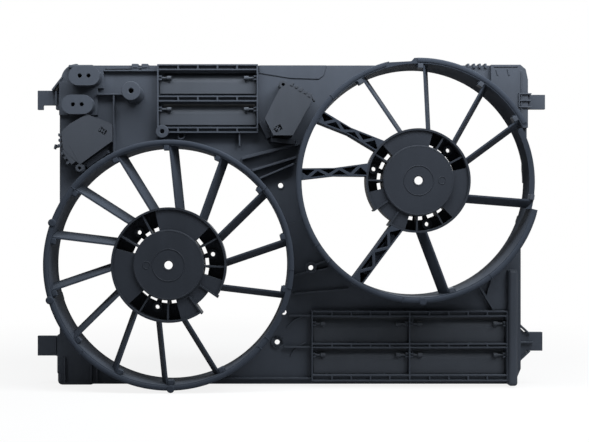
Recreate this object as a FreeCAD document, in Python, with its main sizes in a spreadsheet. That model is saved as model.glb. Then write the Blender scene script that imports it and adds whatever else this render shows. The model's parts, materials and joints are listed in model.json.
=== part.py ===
import FreeCAD, Part
import os
import re
import Sketcher
from FreeCAD import Placement, Rotation, Vector

# Dual radiator fan shroud, millimetres.
# +X runs along the width, +Z is up, +Y points at the radiator and -Y at the engine.
# The origin is the middle of the radiator seat plane, the rear edge of the skirt.
# A height is a distance from that plane towards the engine, so y = -height.

SIZES = {
    # main plate and its skirt
    "body_left": 308,
    "body_right": 304.5,
    "body_top": 211.5,
    "body_bottom": 211.5,
    "upper_right_edge": 312.5,
    "plate_wall": 2.5,
    "plate_front": 18,
    "skirt_wall": 2.5,
    "corner_round": 10,
    "tab_length": 31,
    # fan rings
    "left_ring_x": -158,
    "left_ring_z": -51.5,
    "left_fan_radius": 152,
    "right_ring_x": 159.5,
    "right_ring_z": 56,
    "right_fan_radius": 148.5,
    "ring_wall": 3,
    "ring_lip": 7.2,
    "lip_drop": 7,
    "ring_front": 74,
    "relief_front": 46,
    "relief_lip": 2.4,
    "notch_drop": 9,
    "clip_relief": 1.4,
    # motor mounts
    "left_hub_radius": 73.5,
    "right_hub_radius": 66.5,
    "hub_front": 72.5,
    "hub_rear": 48,
    "hub_wall": 2.5,
    "cup_radius": 45,
    "cup_wall": 2.5,
    "cup_front": 74,
    "cup_hole_radius": 5.2,
    "cover_drop": 2,
    "rib_wall": 2,
    "bolt_circle_radius": 57,
    "bolt_hole_radius": 2.75,
    "bolt_boss_radius": 6.5,
    "bolt_boss_height": 5,
    "left_bolt_angle": 13.5,
    "right_bolt_angle": 44,
    "group_angle": 62,
    "slot_gap": 0.8,
    "slot_length": 4.5,
    "slot_width": 9,
    "notch_floor_radius": 61,
    "left_notch_angle": 305,
    "right_notch_angle": 215,
    "notch_angle": 21,
    "notch_ear": 1.8,
    # stator vanes
    "vane_wall": 2.6,
    "vane_depth": 25,
    "vane_lean": 8,
    "left_vane_offset": 21,
    "right_vane_offset": 17.7,
    "foot_length": 9,
    "foot_wall": 3,
    "foot_height": 8,
    "web_wall": 1.8,
    "truss_floor": 2.2,
    # relief flaps and their frames
    "frame_front": 28,
    "frame_wall": 1.8,
    "upper_block_inset": 130.5,
    "upper_block_width": 133,
    "upper_block_height": 90.5,
    "lower_block_inset": 19.5,
    "lower_block_width": 259,
    "lower_block_rise": 5,
    "lower_block_height": 93,
    "upper_hinge_drop": 17.5,
    "lower_hinge_drop": 17.5,
    "hinge_step": 41.4,
    "hinge_rise": 4.5,
    "pin_radius": 1.5,
    "pin_fit": 0.05,
    "pin_length": 8,
    "hook_width": 4,
    "hook_radius": 3,
    "hook_mouth": 2.4,
    "lug_width": 6,
    "lug_radius": 2.3,
    "flap_wall": 2,
    "flap_seat_gap": 0.4,
    "upper_flap_drop": 20.5,
    "lower_flap_drop": 24.6,
    "upper_bay_drop": 24,
    "lower_bay_drop": 25.4,
    "flap_rise": 7,
    "bay_rise": 9.6,
    "flap_overlap": 4,
    "side_gap": 0.6,
    # bosses
    "upper_oval_inset": 36.5,
    "upper_oval_drop": 17,
    "lower_oval_inset": 27.5,
    "lower_oval_drop": 54.5,
    "oval_seat": 4,
    "oval_length": 41,
    "oval_width": 25.5,
    "oval_front": 40,
    "oval_pitch": 11.5,
    "oval_hole_radius": 2.7,
    "oval_hole_depth": 20,
    "round_boss_inset": 100,
    "round_boss_drop": 39.2,
    "round_boss_radius": 12.3,
    "round_boss_front": 57,
    "round_hole_radius": 3.2,
    "round_hole_depth": 30,
    "small_boss_inset": 137.2,
    "small_boss_drop": 88.8,
    "small_boss_radius": 8.6,
    "small_boss_front": 30,
    "small_hole_radius": 2.8,
    "web_boss_radius": 7.3,
    "web_boss_front": 24,
    "web_hole_radius": 3.3,
    # electronics housings
    "left_lid_front": 38,
    "right_lid_front": 46,
    "lid_wall": 3,
    "lid_overhang": 0.8,
    "screw_ear_radius": 4.9,
    "screw_hole_radius": 2.2,
    # radiator tabs
    "tab_rear": 6,
    "tab_root": 6,
    "tab_wall": 5,
    # ridge beside the lower flaps
    "ridge_width": 12,
    "ridge_length": 150,
    "ridge_front": 31,
}

document = FreeCAD.newDocument("fan_shroud")
sheet = document.addObject("Spreadsheet::Sheet", "size")
for row, (alias, number) in enumerate(SIZES.items(), start=1):
    sheet.set(f"A{row}", alias)
    sheet.set(f"B{row}", str(number))
    sheet.setAlias(f"B{row}", alias)
document.recompute()


def bind(item, path, formula):
    """Tie a property to a formula written with the sheet's names."""
    def with_sheet(word):
        return "size." + word[0] if word[0] in SIZES else word[0]
    item.setExpression(path, re.sub(r"[a-z][a-z_0-9]*", with_sheet, str(formula)))


def polar(radius, angle):
    return (f"({radius}) * cos({angle})", f"({radius}) * sin({angle})")


def make_body(label, x="0", z="0", turn="0"):
    """A body whose local Y axis is the fan axis or the global Y axis through (x, z)."""
    body = document.addObject("PartDesign::Body", label)
    body.Label = label
    body.AllowCompound = True
    body.Placement = Placement(Vector(), Rotation(Vector(0, -1, 0), 0))
    bind(body, "Placement.Base.x", x)
    bind(body, "Placement.Base.z", z)
    if turn != "0":
        body.Placement = Placement(Vector(), Rotation(Vector(0, -1, 0), 1))
        bind(body, "Placement.Rotation.Angle", turn)
    return body


def sketch_on(body, role, height="0", turn=None):
    """An empty sketch on an origin plane, lifted towards the engine or turned about the axis."""
    sketch = body.newObject("Sketcher::SketchObject", body.Label + "_sketch")
    plane = next(item for item in body.Origin.OriginFeatures if item.Role == role)
    sketch.AttachmentSupport = [(plane, "")]
    sketch.MapMode = "FlatFace"
    if turn is not None:
        axis = Vector(0, 0, 1) if role == "XZ_Plane" else Vector(0, -1, 0)
        sketch.AttachmentOffset = Placement(Vector(), Rotation(axis, 1))
        bind(sketch, "AttachmentOffset.Rotation.Angle", turn)
    if height != "0":
        bind(sketch, "AttachmentOffset.Base.z", height)
    return sketch


def draw_outline(sketch, corners):
    """Closed straight outline through corners given as pairs of formulas."""
    first = sketch.GeometryCount
    count = len(corners)
    spots = [Rotation(Vector(0, 0, 1), 360 / count * i).multVec(Vector(50, 0, 0)) for i in range(count)]
    for i in range(count):
        sketch.addGeometry(Part.LineSegment(spots[i], spots[(i + 1) % count]))
    for i in range(count):
        following = first + (i + 1) % count
        sketch.addConstraint(Sketcher.Constraint("Coincident", first + i, 2, following, 1))
    for i, corner in enumerate(corners):
        for kind, formula, start in zip(("DistanceX", "DistanceY"), corner, spots[i]):
            number = sketch.addConstraint(Sketcher.Constraint(kind, -1, 1, first + i, 1, start))
            bind(sketch, f"Constraints[{number}]", formula)


def draw_circle(sketch, x, z, radius):
    geometry = sketch.addGeometry(Part.Circle(Vector(1, 1, 0), Vector(0, 0, 1), 5))
    for kind, formula in (("DistanceX", x), ("DistanceY", z)):
        number = sketch.addConstraint(Sketcher.Constraint(kind, -1, 1, geometry, 3, 1))
        bind(sketch, f"Constraints[{number}]", formula)
    number = sketch.addConstraint(Sketcher.Constraint("Radius", geometry, 5))
    bind(sketch, f"Constraints[{number}]", radius)


def rectangle(left, right, bottom, top):
    return [(left, bottom), (right, bottom), (right, top), (left, top)]


def pad(body, outlines, rear, front, circles=(), turn=None, taper=0):
    """Material between two heights inside the outlines and circles."""
    sketch = sketch_on(body, "XZ_Plane", rear, turn)
    for corners in outlines:
        draw_outline(sketch, corners)
    for circle in circles:
        draw_circle(sketch, *circle)
    feature = body.newObject("PartDesign::Pad", body.Label + "_pad")
    feature.Profile = sketch
    bind(feature, "Length", f"({front}) - ({rear})")
    feature.TaperAngle = taper
    body.Tip = feature
    return feature


def pocket(body, outlines, rear, front, circles=(), turn=None):
    """Material taken away between two heights inside the outlines and circles."""
    sketch = sketch_on(body, "XZ_Plane", front, turn)
    for corners in outlines:
        draw_outline(sketch, corners)
    for circle in circles:
        draw_circle(sketch, *circle)
    feature = body.newObject("PartDesign::Pocket", body.Label + "_pocket")
    feature.Profile = sketch
    bind(feature, "Length", f"({front}) - ({rear})")
    body.Tip = feature
    return feature


def turned(body, kind, profile, start=None, sweep="360"):
    """A Revolution or Groove of a (radius, height) profile about the body's fan axis."""
    sketch = sketch_on(body, "XY_Plane", turn=start)
    draw_outline(sketch, [(radius, f"-({height})") for radius, height in profile])
    feature = body.newObject("PartDesign::" + kind, body.Label + "_" + kind.lower())
    feature.Profile = sketch
    feature.ReferenceAxis = (sketch, ["V_Axis"])
    feature.Reversed = True
    bind(feature, "Angle", sweep)
    body.Tip = feature
    return feature


def repeat_round(body, features, count):
    """The same features at equal turns about the body's fan axis."""
    pattern = body.newObject("PartDesign::PolarPattern", body.Label + "_pattern")
    pattern.Originals = features
    axis = next(item for item in body.Origin.OriginFeatures if item.Role == "Y_Axis")
    pattern.Axis = (axis, [""])
    pattern.Angle = 360
    pattern.Occurrences = count
    body.Tip = pattern
    return pattern


# ---------------------------------------------------------------- fan rings
plate_rear = "plate_front - plate_wall"


def fan_ring(side):
    """Barrel round the fan with an outward lip at its front edge."""
    body = make_body(side + "_fan_ring", f"{side}_ring_x", f"{side}_ring_z")
    inner = f"{side}_fan_radius"
    outer = f"{side}_fan_radius + ring_wall"
    lip = f"{side}_fan_radius + ring_lip"
    turned(body, "Revolution", [
        (inner, plate_rear),
        (inner, "ring_front"),
        (lip, "ring_front"),
        (lip, "ring_front - lip_drop"),
        (outer, "ring_front - lip_drop"),
        (outer, plate_rear),
    ])
    return body


left_ring = fan_ring("left")
right_ring = fan_ring("right")

# The left ring's lip is scooped out where a clip goes into the plate close beside it.
lip_clip = ("148", "-65")
pocket(left_ring, [], "plate_front", "ring_front + 2", [(*lip_clip, "web_hole_radius + clip_relief")])

# The right ring is lower beside the body's edge, where its lip turns out at half height,
# and its lip is planed off flat at the top.
wedge_reach = "right_fan_radius * 1.4"
pocket(right_ring, [[("0", "0"), polar(wedge_reach, "-14"), polar(wedge_reach, "6"), polar(wedge_reach, "27")]],
       "relief_front", "ring_front + 2")
turned(right_ring, "Revolution", [
    ("right_fan_radius + ring_wall / 2", "relief_front - relief_lip"),
    ("right_fan_radius + ring_wall / 2", "relief_front"),
    ("right_fan_radius + ring_lip", "relief_front"),
    ("right_fan_radius + ring_lip", "relief_front - relief_lip"),
], start="-14", sweep="41")
flat_corners = [
    polar("right_fan_radius + 3.2", "93.5"),
    polar("right_fan_radius + ring_lip", "92"),
    polar(wedge_reach, "92"),
    polar(wedge_reach, "104"),
    polar("right_fan_radius + 6", "104"),
]
pocket(right_ring, [flat_corners], "ring_front - notch_drop", "ring_front + 2")


# ------------------------------------------------------------- motor mounts
def motor_cup(side):
    """Round cup over the back of the motor, open to the radiator side."""
    body = make_body(side + "_motor_cup", f"{side}_ring_x", f"{side}_ring_z")
    turned(body, "Revolution", [
        ("cup_hole_radius", "cup_front - cup_wall"),
        ("cup_hole_radius", "cup_front"),
        ("cup_radius", "cup_front"),
        ("cup_radius", "hub_rear"),
        ("cup_radius - cup_wall", "hub_rear"),
        ("cup_radius - cup_wall", "cup_front - cup_wall"),
    ])
    return body


def motor_flange(side):
    """Rim, cover plates, and three groups of bolt boss, ribs and cooling slots."""
    body = make_body(side + "_motor_flange", f"{side}_ring_x", f"{side}_ring_z")
    bolt = f"{side}_bolt_angle"
    rim = f"{side}_hub_radius"
    rim_inside = f"{side}_hub_radius - hub_wall"
    cover_front = "hub_front - cover_drop"
    cover_rear = "hub_front - cover_drop - hub_wall"
    floor_front = "hub_rear + hub_wall"
    turned(body, "Revolution", [
        (rim_inside, "hub_rear"),
        (rim_inside, "hub_front"),
        (rim, "hub_front"),
        (rim, "hub_rear"),
    ])
    cover = turned(body, "Revolution", [
        ("cup_radius", cover_rear),
        ("cup_radius", cover_front),
        (f"{rim} - hub_wall / 2", cover_front),
        (f"{rim} - hub_wall / 2", cover_rear),
    ], start=f"{bolt} + group_angle / 2", sweep="120 - group_angle")
    floor = turned(body, "Revolution", [
        ("cup_radius", "hub_rear"),
        ("cup_radius", floor_front),
        (f"{rim} - hub_wall / 2", floor_front),
        (f"{rim} - hub_wall / 2", "hub_rear"),
    ], start=f"{bolt} - group_angle / 2", sweep="group_angle")
    group = [cover, floor]
    boss_place = ("bolt_circle_radius", "0", "bolt_boss_radius")
    group.append(pad(body, [], "hub_rear", f"{floor_front} + bolt_boss_height", [boss_place], turn=bolt))
    for share in (-0.5, -0.25, 0.25, 0.5):
        inset = "0" if abs(share) < 0.5 else f"{-2 * share} * rib_wall / 2"
        rib = rectangle("cup_radius", f"{rim} - hub_wall / 2",
                        f"{inset} - rib_wall / 2", f"{inset} + rib_wall / 2")
        group.append(pad(body, [rib], "hub_rear", cover_front, turn=f"{bolt} + {share} * group_angle"))
    centre_rib = rectangle("cup_radius", "bolt_circle_radius", "-rib_wall / 2", "rib_wall / 2")
    group.append(pad(body, [centre_rib], "hub_rear", f"{floor_front} + bolt_boss_height", turn=bolt))
    for place in (-24, -9, 9, 24):
        slot = rectangle("cup_radius + slot_gap", "cup_radius + slot_gap + slot_length",
                         "-slot_width / 2", "slot_width / 2")
        group.append(pocket(body, [slot], "hub_rear - 1", f"{floor_front} + 1", turn=f"{bolt} + {place}"))
    group.append(pocket(body, [], "hub_rear - 1", "hub_front",
                        [("bolt_circle_radius", "0", "bolt_hole_radius")], turn=bolt))
    repeat_round(body, group, 3)

    # The wires leave through a notch in the rim, between two upright walls.
    start = f"{side}_notch_angle"
    end = f"{side}_notch_angle + notch_angle"
    reach = f"{rim} + 2 * hub_wall"
    pocket(body, [[polar("notch_floor_radius", start), polar(reach, start),
                   polar(reach, end), polar("notch_floor_radius", end)]], "hub_rear - 1", "hub_front + 1")
    for angle, side_step in ((start, -1), (end, 1)):
        low, high = ("-rib_wall", "0") if side_step < 0 else ("0", "rib_wall")
        wall = rectangle("cup_radius + 2", f"{rim} + notch_ear", low, high)
        pad(body, [wall], "hub_rear", "hub_front", turn=angle)
    turned(body, "Revolution", [
        ("notch_floor_radius - rib_wall", "hub_rear"),
        ("notch_floor_radius - rib_wall", cover_front),
        ("notch_floor_radius", cover_front),
        ("notch_floor_radius", "hub_rear"),
    ], start=start, sweep="notch_angle")
    return body


for side in ("left", "right"):
    motor_cup(side)
    motor_flange(side)


# ------------------------------------------------------------------- vanes
def trim_to_ring(body, side):
    """Cut what stands past the ring's inner wall and inside the mount's rim."""
    deep = "hub_rear - 10"
    tall = "ring_front + 10"
    for near, far in ((f"{side}_fan_radius", f"{side}_fan_radius + 40"), ("0", f"{side}_hub_radius")):
        turned(body, "Groove", [(near, deep), (near, tall), (far, tall), (far, deep)])


def stator_vane(label, side, direction):
    """Leaning bar from the motor mount to the ring, with a small foot on the ring."""
    body = make_body(label, f"{side}_ring_x", f"{side}_ring_z", str(direction))
    offset = f"{side}_vane_offset"
    front = "hub_front"
    sketch = sketch_on(body, "YZ_Plane")
    lean = "vane_lean / 2"
    draw_outline(sketch, [
        (f"-({front})", f"-({offset}) + {lean} - vane_wall / 2"),
        (f"-({front})", f"-({offset}) + {lean} + vane_wall / 2"),
        (f"vane_depth - ({front})", f"-({offset}) - {lean} + vane_wall / 2"),
        (f"vane_depth - ({front})", f"-({offset}) - {lean} - vane_wall / 2"),
    ])
    bar = body.newObject("PartDesign::Pad", label + "_bar")
    bar.Profile = sketch
    bind(bar, "Length", f"{side}_fan_radius + 20")
    foot_left = f"sqrt(({side}_fan_radius) ^ 2 - ({offset}) ^ 2) - foot_wall"
    foot_low = f"-({offset}) + {lean}"
    pad(body, [rectangle(foot_left, f"{foot_left} + 2 * foot_wall", foot_low, f"{foot_low} + foot_length")],
        f"{front} - foot_height", front)
    trim_to_ring(body, side)
    return body


left_pitch = 360 / 14
left_first = 18.8
open_place = 12
for place in range(14):
    if place != open_place:
        stator_vane(f"left_vane_{place + 1:02d}", "left", round(left_first + left_pitch * place, 2))

RIGHT_VANES = (36.4, 60.8, 92.8, 124.2, 290.6, 355.4)
for number, direction in enumerate(RIGHT_VANES, start=1):
    stator_vane(f"right_vane_{number:02d}", "right", direction)


def truss_vane(label, direction, offset, hub_width, waist_width, ring_width, cells):
    """Wide channel vane: a floor, two side walls and a zigzag rib between them."""
    body = make_body(label, "right_ring_x", "right_ring_z", str(direction))
    near = "right_hub_radius - 8"
    far = "right_fan_radius + 6"
    middle = f"({near} + {far}) / 2"

    def half_width(share):
        """Half width of the vane at a share of its length, waisted in the middle."""
        if share < 0.5:
            return (hub_width + (waist_width - hub_width) * 2 * share) / 2
        return (waist_width + (ring_width - waist_width) * (2 * share - 1)) / 2

    edge = [(near, hub_width / 2), (middle, waist_width / 2), (far, ring_width / 2)]
    outline = [(x, f"-({offset}) - {half}") for x, half in edge]
    outline += [(x, f"-({offset}) + {half}") for x, half in reversed(edge)]
    pad(body, [outline], "hub_front - vane_depth", "hub_front")
    triangles = []
    for cell in range(cells):
        side_sign = 1 if cell % 2 == 0 else -1
        base_start = cell / (cells + 1)
        base_end = (cell + 2) / (cells + 1)
        corners = []
        for share, step, sign in ((base_start, 2, side_sign), (base_end, -2, side_sign),
                                  ((base_start + base_end) / 2, 0, -side_sign)):
            clear = "web_wall" if step else "2 * web_wall"
            x = f"{near} + {share:.4f} * ({far} - ({near})) + {step} * web_wall"
            z = f"-({offset}) + {sign} * ({half_width(share):.3f} - {clear})"
            corners.append((x, z))
        triangles.append(corners)
    for corners in triangles:
        pocket(body, [corners], "hub_front - vane_depth + truss_floor", "hub_front + 1")
    trim_to_ring(body, "right")
    return body


truss_vane("right_truss_upper", 153.7, "right_vane_offset", 17, 9, 17, 6)
truss_vane("right_truss_middle", 183.6, "right_vane_offset", 17, 10, 15, 6)
truss_vane("right_truss_lower", 233.5, "-14.2", 16, 15, 15, 5)


def block_edges(block):
    """Left, right, bottom and top of a flap block, tied to the body's edges."""
    if block == "upper":
        left = "-body_left + upper_block_inset"
        return left, f"{left} + upper_block_width", "body_top - upper_block_height", "body_top"
    right = "body_right - lower_block_inset"
    bottom = "-body_bottom + lower_block_rise"
    return f"{right} - lower_block_width", right, bottom, f"{bottom} + lower_block_height"


# --------------------------------------------------------------- main plate
def cut_rings(body, front="ring_front"):
    """Cut both fan barrels out of a plate."""
    for side in ("left", "right"):
        pocket(body, [], "-1", front,
               [(f"{side}_ring_x", f"{side}_ring_z", f"{side}_fan_radius + ring_wall")])


def plate_field(label, outline, hollow):
    """One field of the plate with the skirt along its outer edges."""
    body = make_body(label)
    pad(body, [outline], "0", "plate_front")
    pocket(body, [hollow], "0", plate_rear)
    return body


left_centre = ("left_ring_x", "left_ring_z")
right_centre = ("right_ring_x", "right_ring_z")
inside_left = "-body_left + skirt_wall"
inside_top = "body_top - skirt_wall"
inside_bottom = "-body_bottom + skirt_wall"

upper_left = plate_field("upper_left_plate", [
    left_centre,
    ("-body_left", "left_ring_z"),
    ("-body_left", "body_top - 20"),
    ("-body_left + corner_round", "body_top - 3"),
    ("-body_left + 2 * corner_round", "body_top"),
    ("right_ring_x", "body_top"),
    right_centre,
], [
    left_centre,
    (inside_left, "left_ring_z"),
    (inside_left, "body_top - 20 - skirt_wall / 2"),
    (f"{inside_left} + corner_round", "body_top - 3 - skirt_wall"),
    (f"{inside_left} + 2 * corner_round", inside_top),
    ("right_ring_x", inside_top),
    right_centre,
])
# raised seat of the two oval bosses, and the ribs that tie the bosses together
seat_right = "-body_left + 51"
for corners in (rectangle("-body_left", seat_right, "body_top - 66.5", "body_top - 22"),
                rectangle("-body_left + 14", "-body_left + 59", "body_top - 31", "body_top - 3.5")):
    pad(upper_left, [corners], plate_rear, "plate_front + oval_seat")
pad(upper_left, [
    rectangle(seat_right, "-body_left + round_boss_inset - round_boss_radius", "body_top - 40.2", "body_top - 38.2"),
    rectangle("-body_left + 72", "-body_left + 74", "body_top - 117", "body_top - 41"),
    rectangle("-body_left + 238", "-body_left + 240", "body_top - 107.5", "body_top - upper_block_height"),
], plate_rear, "plate_front + 8")
pad(upper_left, [rectangle("-body_left + 59", "-body_left + upper_block_inset", "body_top - 8.5", "body_top - 6.5")],
    plate_rear, "plate_front + 5")
# low pad along the top edge, and the stepped ribs that climb to the web between the rings
pad(upper_left, [[("-43", "body_top - 10.3"), ("-2", "body_top - 17"), ("36", "body_top - 18.3"),
                  ("43", "body_top - 13"), ("46", "body_top"), ("-43", "body_top")]],
    plate_rear, "plate_front + 1.2")
for left_end, right_end, thick in (
    (("-66", "85.5"), ("12", "105.5"), "4"),
    (("-52", "70"), ("6", "87.5"), "3"),
    (("-42", "60"), ("3", "79"), "2.5"),
):
    rib = [left_end, right_end, (right_end[0], f"{right_end[1]} + {thick}"), (left_end[0], f"{left_end[1]} + {thick}")]
    pad(upper_left, [rib], plate_rear, "plate_front + 9")
pocket(upper_left, [rectangle(*block_edges("upper"))], plate_rear, "ring_front")
cut_rings(upper_left)
pocket(upper_left, [], "-1", "ring_front", [("left_ring_x + 143.5", "left_ring_z + 103.5", "web_hole_radius")])

lower_left = plate_field("lower_left_plate", [
    left_centre,
    ("left_ring_x", "-body_bottom"),
    ("-body_left + corner_round", "-body_bottom"),
    ("-body_left + 2", "-body_bottom + 6"),
    ("-body_left", "-body_bottom + 2 * corner_round"),
    ("-body_left", "left_ring_z"),
], [
    left_centre,
    ("left_ring_x", inside_bottom),
    (f"{inside_left} + corner_round", inside_bottom),
    (f"{inside_left} + 2", f"{inside_bottom} + 6"),
    (inside_left, f"{inside_bottom} + 2 * corner_round"),
    (inside_left, "left_ring_z"),
])
for inset in ("6.5", "41.5", "49"):
    rib_left = f"-body_left + {inset}"
    pad(lower_left, [rectangle(rib_left, f"{rib_left} + rib_wall", inside_bottom, "-body_bottom + 35.5")],
        plate_rear, "plate_front + 5")
cut_rings(lower_left)

lower = plate_field("lower_plate", [
    left_centre,
    right_centre,
    ("body_right", "right_ring_z"),
    ("body_right", "-body_bottom + 2 * corner_round"),
    ("body_right - 5", "-body_bottom + 8"),
    ("body_right - corner_round", "-body_bottom"),
    ("left_ring_x", "-body_bottom"),
], [
    left_centre,
    right_centre,
    ("body_right - skirt_wall", "right_ring_z"),
    ("body_right - skirt_wall", "-body_bottom + 2 * corner_round"),
    ("body_right - 5 - skirt_wall", "-body_bottom + 8 + skirt_wall / 2"),
    ("body_right - corner_round - skirt_wall", inside_bottom),
    ("left_ring_x", inside_bottom),
])
block_left, block_right, block_bottom, block_top = block_edges("lower")
pocket(lower, [rectangle(block_left, block_right, block_bottom, block_top)], "-1", "plate_front + 1")
pad(lower, [], plate_rear, "web_boss_front", [("right_ring_x - 134", "right_ring_z - 113", "web_boss_radius")])
# stiffening ribs of the web between the rings and of the lower field
for corners in (
    rectangle("-4", block_left, f"{block_top} - 8", f"{block_top} - 6"),
    rectangle("-10", block_left, f"{block_top} - 49.5", f"{block_top} - 47.5"),
    rectangle("-90", block_left, f"{block_bottom} + 2", f"{block_bottom} + 4"),
    [("7", "-67"), ("48", "-59"), ("48", "-57"), ("7", "-65")],
    [("3", "-92.5"), ("75", "-86.5"), ("75", "-84.5"), ("3", "-90.5")],
    [(f"{block_right} - 39", f"{block_top} + 33.5"), (f"{block_right} - 19", f"{block_top} + 0.5"),
     (f"{block_right} - 16.6", f"{block_top} + 1.5"), (f"{block_right} - 36.6", f"{block_top} + 34.5")],
):
    pad(lower, [corners], plate_rear, "plate_front + 6")
panel_bottom = f"{block_top} + 1"
panel_top = f"{block_top} + 53.5"
pad(lower, [[(f"{block_right} - 17", panel_top), (block_right, panel_top), (block_right, panel_bottom),
             (f"{block_right} - 17", panel_bottom), (f"{block_right} - 28", f"{block_top} + 18.5")]],
    plate_rear, "plate_front + 5")
cut_rings(lower)
web_holes = (
    ("right_ring_x - 134", "right_ring_z - 113"),
    (f"left_ring_x + {lip_clip[0]}", f"left_ring_z + {lip_clip[1]}"),
    ("left_ring_x + 139", "left_ring_z - 104.5"),
)
for x, z in web_holes:
    pocket(lower, [], "-1", "ring_front", [(x, z, "web_hole_radius")])

upper_right = plate_field("upper_right_plate", [
    right_centre,
    ("right_ring_x", "body_top"),
    ("upper_right_edge - corner_round", "body_top"),
    ("upper_right_edge - 3", "body_top - 6"),
    ("upper_right_edge", "body_top - 2 * corner_round"),
    ("upper_right_edge", "right_ring_z"),
], [
    right_centre,
    ("right_ring_x", inside_top),
    ("upper_right_edge - corner_round - skirt_wall", inside_top),
    ("upper_right_edge - 3 - skirt_wall", "body_top - 6 - skirt_wall / 2"),
    ("upper_right_edge - skirt_wall", "body_top - 2 * corner_round"),
    ("upper_right_edge - skirt_wall", "right_ring_z"),
])
corner_left = "upper_right_edge - 49"
corner_bottom = "body_top - 83.5"
pad(upper_right, [[(corner_left, "body_top"), ("upper_right_edge - corner_round", "body_top"),
                   ("upper_right_edge - 3", "body_top - 6"), ("upper_right_edge", "body_top - 2 * corner_round"),
                   ("upper_right_edge", corner_bottom), (corner_left, corner_bottom)]],
    plate_rear, "plate_front + 6")
cut_rings(upper_right)

# ridge that stiffens the right edge
ridge = make_body("edge_ridge")
ridge_bottom = "-body_bottom + 1.5"
ridge_top = f"{ridge_bottom} + ridge_length"
pad(ridge, [rectangle(block_right, f"{block_right} + ridge_width", ridge_bottom, ridge_top)],
    "plate_front", "ridge_front - 4")
pad(ridge, [rectangle(f"{block_right} + 1.5", f"{block_right} + ridge_width - 1.5",
                      f"{ridge_bottom} + 1.5", ridge_top)], "ridge_front - 5", "ridge_front")
cut_rings(ridge)


# ------------------------------------------------------------ relief flaps
hinge_front = "plate_front + hinge_rise"


def bay_place(block, columns, column, row):
    """Left edge and width of a flap's bay, and the height of its hinge line."""
    left, right, bottom, top = block_edges(block)
    width = f"({block}_block_width - {columns + 1} * frame_wall) / {columns}"
    bay_left = f"({left} + frame_wall + {column} * ({width} + frame_wall))"
    return bay_left, f"({width})", f"({top} - {block}_hinge_drop - {row} * hinge_step)"


def flap_frame(label, block, columns):
    """Grid of walls round two rows of flaps, with windows, ribbed troughs and hinge hooks."""
    left, right, bottom, top = block_edges(block)
    drop = f"{block}_bay_drop"
    body = make_body(label)
    pad(body, [rectangle(left, right, bottom, top)], plate_rear, "frame_front")
    for column in range(columns):
        for row in range(2):
            bay_left, width, axis = bay_place(block, columns, column, row)
            pocket(body, [rectangle(bay_left, f"{bay_left} + {width}", f"{axis} - {drop}", f"{axis} + bay_rise")],
                   "plate_front", "frame_front + 1")
            border = "hook_width + 3 * side_gap"
            window = rectangle(f"{bay_left} + {border}", f"{bay_left} + {width} - {border}",
                               f"{axis} - {block}_flap_drop + flap_overlap", f"{axis} + flap_rise + side_gap / 2")
            pocket(body, [window], "-1", "plate_front + 1")
    # troughs above, between and below the rows, crossed by ribs
    upper_axis = bay_place(block, columns, 0, 0)[2]
    lower_axis = bay_place(block, columns, 0, 1)[2]
    troughs = (
        (f"{upper_axis} + bay_rise + frame_wall", f"{top} - frame_wall"),
        (f"{lower_axis} + bay_rise + frame_wall", f"{upper_axis} - {drop} - frame_wall"),
        (f"{bottom} + frame_wall", f"{lower_axis} - {drop} - frame_wall"),
    )
    for column in range(columns):
        bay_left, width, axis = bay_place(block, columns, column, 0)
        for low, high in troughs:
            cells = []
            for cell in range(5):
                rib_before = "0" if cell == 0 else "rib_wall / 2"
                rib_after = "0" if cell == 4 else "rib_wall / 2"
                cells.append(rectangle(f"{bay_left} + {cell} / 5 * {width} + {rib_before}",
                                       f"{bay_left} + {cell + 1} / 5 * {width} - {rib_after}", low, high))
            pocket(body, cells, "plate_front", "frame_front + 1")
    # a snap hook at both ends of each bay, open towards the engine, for the flap's pin
    mouths = []
    for column in range(columns):
        for row in range(2):
            bay_left, width, axis = bay_place(block, columns, column, row)
            for hook_left in (bay_left, f"{bay_left} + {width} - hook_width"):
                hook = rectangle(hook_left, f"{hook_left} + hook_width",
                                 f"{axis} - hook_radius", f"{axis} + hook_radius")
                pad(body, [hook], plate_rear, f"{hinge_front} + hook_radius")
                mouths.append(rectangle(hook_left, f"{hook_left} + hook_width",
                                        f"{axis} - hook_mouth / 2", f"{axis} + hook_mouth / 2"))
                sketch = sketch_on(body, "YZ_Plane")
                draw_circle(sketch, f"-({hinge_front})", axis, "pin_radius + pin_fit")
                bind(sketch, "AttachmentOffset.Base.z", f"{hook_left} + hook_width")
                hole = body.newObject("PartDesign::Pocket", label + "_pin_hole")
                hole.Profile = sketch
                bind(hole, "Length", "hook_width")
                body.Tip = hole
    pocket(body, mouths, hinge_front, f"{hinge_front} + hook_radius + 1")
    return body


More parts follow.
